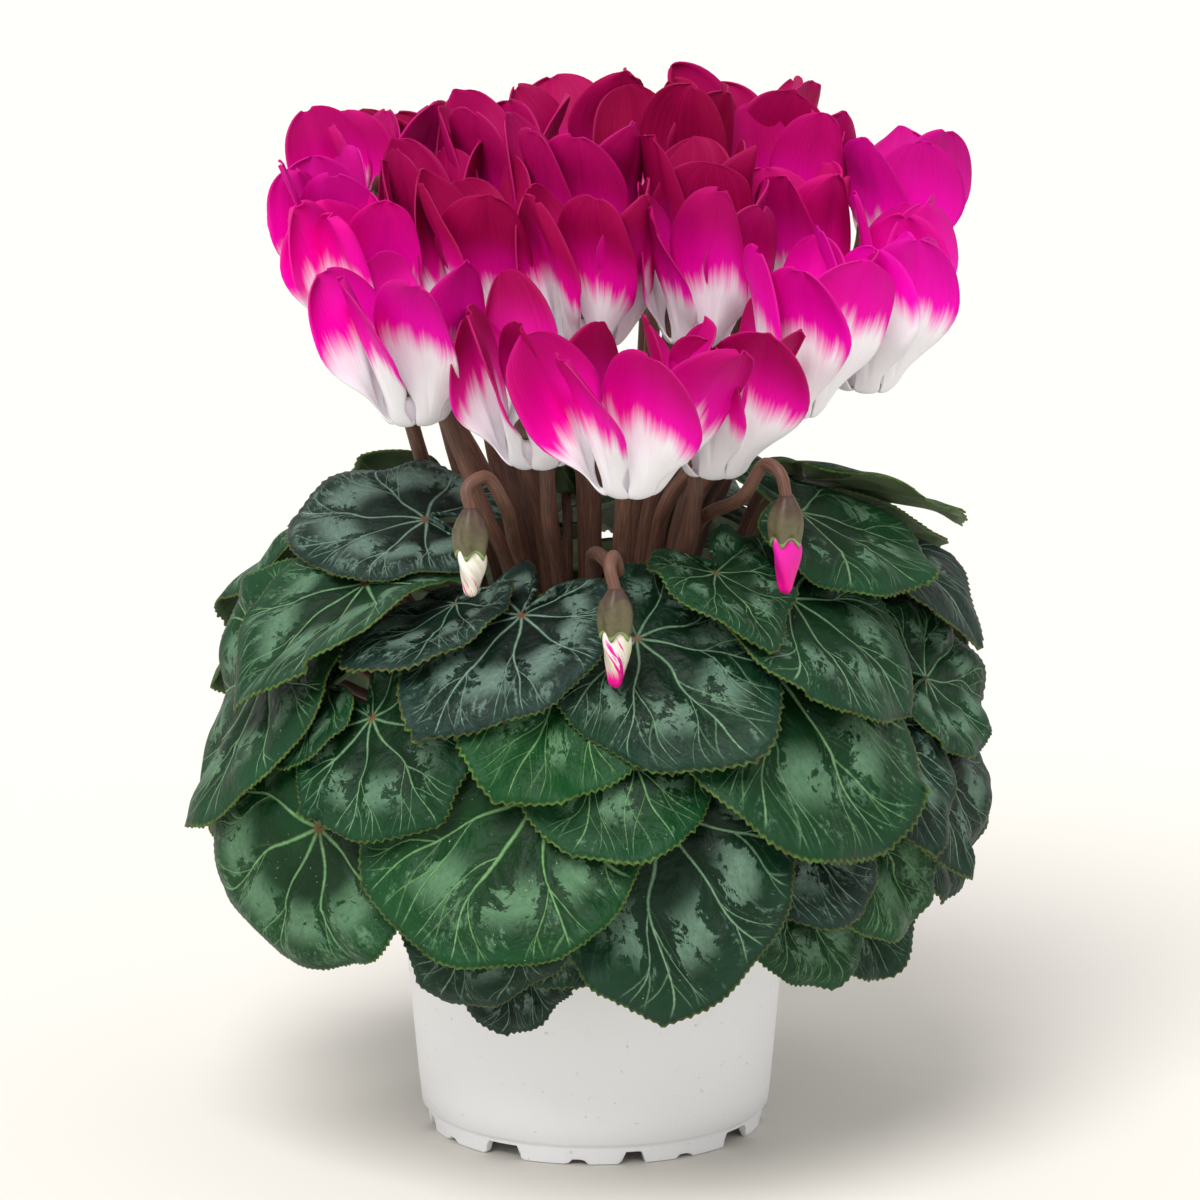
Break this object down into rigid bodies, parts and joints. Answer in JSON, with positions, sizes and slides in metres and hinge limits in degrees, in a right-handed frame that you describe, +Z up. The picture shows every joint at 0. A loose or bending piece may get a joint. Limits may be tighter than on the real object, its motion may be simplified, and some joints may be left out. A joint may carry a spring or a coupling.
{
  "type": "potted cyclamen",
  "caption": "Potted cyclamen with magenta and white swept-back flowers, hooked buds and marbled heart-shaped leaves in a plain white nursery pot.",
  "frame": {"origin": "on the floor under the middle of the whole plant, between the feet of the pot", "axes": "+Z up along the stalks, -Y towards the front where the lowest flower hangs, +X to the right seen from the front"},
  "size_m": [0.243, 0.244, 0.3211],
  "materials": {
    "pot": "satin",
    "soil": "matte",
    "stalk": "satin",
    "petal": "satin",
    "leaf": "satin"
  },
  "bodies": {
    "root": {"pot": "pot", "soil": "soil", "corm_and_stalks": "stalk", "flower_01": "petal", "flower_02": "petal", "flower_03": "petal", "flower_04": "petal", "flower_05": "petal", "flower_06": "petal", "flower_07": "petal", "flower_08": "petal", "flower_09": "petal", "flower_10": "petal", "flower_11": "petal", "flower_12": "petal", "flower_13": "petal", "flower_14": "petal", "flower_15": "petal", "flower_16": "petal", "flower_17": "petal", "flower_18": "petal", "flower_19": "petal", "flower_20": "petal", "flower_21": "petal", "flower_22": "petal", "flower_23": "petal", "flower_24": "petal", "bud_tip_01": "petal", "bud_tip_02": "petal", "bud_tip_03": "petal", "leaf_bunch_01": "leaf", "leaf_bunch_02": "leaf", "leaf_bunch_03": "leaf", "leaf_bunch_04": "leaf", "leaf_bunch_05": "leaf", "leaf_bunch_06": "leaf", "leaf_bunch_07": "leaf", "leaf_bunch_08": "leaf", "leaf_bunch_09": "leaf", "leaf_bunch_10": "leaf", "leaf_bunch_11": "leaf", "leaf_bunch_12": "leaf", "leaf_bunch_13": "leaf", "leaf_bunch_14": "leaf", "leaf_bunch_15": "leaf", "leaf_bunch_16": "leaf", "leaf_bunch_17": "leaf", "leaf_bunch_18": "leaf", "leaf_bunch_19": "leaf", "leaf_bunch_20": "leaf", "leaf_bunch_21": "leaf", "leaf_bunch_22": "leaf", "leaf_bunch_23": "leaf", "leaf_bunch_24": "leaf", "leaf_bunch_25": "leaf", "leaf_bunch_26": "leaf", "leaf_bunch_27": "leaf", "leaf_bunch_28": "leaf"}
  },
  "joints": []
}
